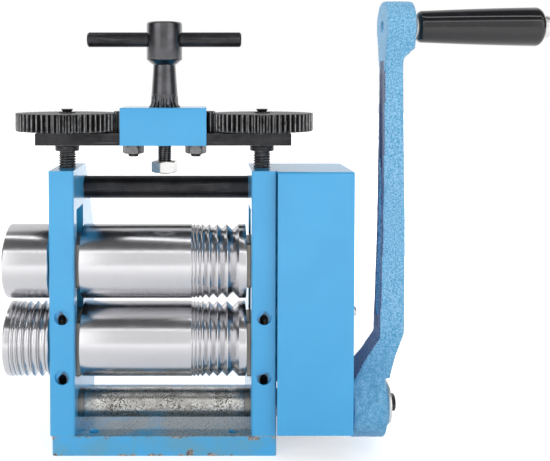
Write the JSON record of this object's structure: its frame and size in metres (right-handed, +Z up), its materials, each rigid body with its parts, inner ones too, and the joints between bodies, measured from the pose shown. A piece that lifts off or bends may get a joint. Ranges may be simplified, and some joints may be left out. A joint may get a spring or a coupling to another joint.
{
  "type": "jewellers rolling mill",
  "caption": "Hand cranked bench mill with two steel rolls between blue side frames, a geared T-handle gap setting and a side crank.",
  "frame": {"origin": "on the base plate's underside, midway between the side frames and midway front to back", "axes": "+X along the rolls to the crank, +Y from front to back, +Z up"},
  "size_m": [0.368, 0.0994, 0.3],
  "materials": {
    "frame_paint": "gloss blue spray paint, chipped at the edges",
    "cast_paint": "blue paint over a rough casting",
    "roll_steel": "ground and polished tool steel",
    "shaft_steel": "turned steel, lightly oxidised",
    "black_steel": "black oxide",
    "gear_steel": "machined steel, oiled",
    "zinc": "bright zinc plate",
    "bronze": "bearing bronze",
    "grip": "polished black plastic"
  },
  "bodies": {
    "frame": {"base_plate": "frame_paint", "foot_screws": "black_steel", "left_side_frame": "frame_paint", "right_side_frame": "frame_paint", "tie_bar": "black_steel", "tie_bar_screws": "black_steel", "left_lower_bearing": "bronze", "right_lower_bearing": "bronze", "left_lift_spring": "gear_steel", "right_lift_spring": "gear_steel", "left_crank_bush": "bronze", "right_crank_bush": "bronze", "gear_cover": "frame_paint", "cover_standoffs": "gear_steel", "cover_screws": "zinc", "reduction_stud": "gear_steel", "stud_retaining_ring": "gear_steel"},
    "crank": {"crank_shaft": "shaft_steel", "crank_keys": "gear_steel", "crank_pinion": "gear_steel", "crank_spacers": "gear_steel", "crank_arm": "cast_paint", "crank_washer": "zinc", "crank_bolt": "black_steel", "handle_spindle": "zinc"},
    "grip": {"handle_grip": "grip"},
    "reduction_cluster": {"reduction_gear": "gear_steel"},
    "lower_roll_set": {"lower_roll": "roll_steel", "lower_roll_keys": "gear_steel", "lower_roll_gear": "gear_steel", "lower_drive_gear": "gear_steel", "lower_side_roll": "roll_steel", "lower_side_roll_screw": "black_steel", "lower_gear_screw": "black_steel"},
    "upper_bearings": {"left_upper_bearing": "bronze", "right_upper_bearing": "bronze"},
    "upper_roll_set": {"upper_roll": "roll_steel", "upper_roll_keys": "gear_steel", "upper_roll_gear": "gear_steel", "upper_side_roll": "roll_steel", "upper_side_roll_screw": "black_steel", "upper_gear_screw": "black_steel"},
    "bridge": {"crossbar": "black_steel", "bridge_cover": "frame_paint", "idler_pins": "black_steel", "idler_nuts": "black_steel"},
    "handle_set": {"t_handle": "black_steel", "t_handle_bar": "black_steel", "spindle_nut": "zinc"},
    "left_idler": {"left_idler_gear": "black_steel"},
    "right_idler": {"right_idler_gear": "black_steel"},
    "left_screw": {"left_pressure_screw": "black_steel", "left_adjusting_gear": "black_steel", "left_gear_washer": "black_steel", "left_gear_screw": "black_steel"},
    "right_screw": {"right_pressure_screw": "black_steel", "right_adjusting_gear": "black_steel", "right_gear_washer": "black_steel", "right_gear_screw": "black_steel"}
  },
  "joints": [
    {"name": "crank_turn", "type": "hinge", "parent": "frame", "child": "crank", "pos_m": [0.1, -0.024, 0.0275], "axis": [1, 0, 0], "continuous": true},
    {"name": "grip_turn", "type": "hinge", "parent": "crank", "child": "grip", "pos_m": [0.21, -0.024, 0.283], "axis": [1, 0, 0], "continuous": true},
    {"name": "reduction_turn", "type": "hinge", "parent": "frame", "child": "reduction_cluster", "pos_m": [0.1, 0.0066, 0.04785], "axis": [1, 0, 0], "continuous": true},
    {"name": "lower_roll_turn", "type": "hinge", "parent": "frame", "child": "lower_roll_set", "pos_m": [0, -0.02, 0.0706], "axis": [1, 0, 0], "continuous": true},
    {"name": "upper_bearing_travel", "type": "slide", "parent": "frame", "child": "upper_bearings", "axis": [0, 0, 1], "range_m": [-0.0032, 0.002], "deforming": ["left_lift_spring", "right_lift_spring"]},
    {"name": "upper_roll_turn", "type": "hinge", "parent": "upper_bearings", "child": "upper_roll_set", "pos_m": [0, -0.02, 0.1239], "axis": [1, 0, 0], "continuous": true},
    {"name": "bridge_travel", "type": "slide", "parent": "frame", "child": "bridge", "axis": [0, 0, 1], "range_m": [-0.0032, 0.002]},
    {"name": "t_handle_turn", "type": "hinge", "parent": "bridge", "child": "handle_set", "pos_m": [0, -0.02, 0.25], "axis": [0, 0, 1], "range_deg": [-2327, 1455]},
    {"name": "left_idler_turn", "type": "hinge", "parent": "bridge", "child": "left_idler", "pos_m": [-0.02125, -0.02, 0.219], "axis": [0, 0, 1], "range_deg": [-1149, 1837]},
    {"name": "right_idler_turn", "type": "hinge", "parent": "bridge", "child": "right_idler", "pos_m": [0.02125, -0.02, 0.219], "axis": [0, 0, 1], "range_deg": [-1149, 1837]},
    {"name": "left_screw_turn", "type": "hinge", "parent": "bridge", "child": "left_screw", "pos_m": [-0.06625, -0.02, 0.219], "axis": [0, 0, 1], "range_deg": [-659, 412]},
    {"name": "right_screw_turn", "type": "hinge", "parent": "bridge", "child": "right_screw", "pos_m": [0.06625, -0.02, 0.219], "axis": [0, 0, 1], "range_deg": [-659, 412]}
  ],
  "couplings": [
    {"joint": "reduction_turn", "follows": "crank_turn", "ratio": -0.4},
    {"joint": "lower_roll_turn", "follows": "crank_turn", "ratio": 0.4},
    {"joint": "upper_roll_turn", "follows": "crank_turn", "ratio": -0.4},
    {"joint": "t_handle_turn", "follows": "bridge_travel", "rad_per_m": 12686},
    {"joint": "left_idler_turn", "follows": "bridge_travel", "rad_per_m": -10015},
    {"joint": "right_idler_turn", "follows": "bridge_travel", "rad_per_m": -10015},
    {"joint": "left_screw_turn", "follows": "bridge_travel", "rad_per_m": 3590.4},
    {"joint": "right_screw_turn", "follows": "bridge_travel", "rad_per_m": 3590.4},
    {"joint": "upper_bearing_travel", "follows": "bridge_travel", "ratio": 1}
  ]
}
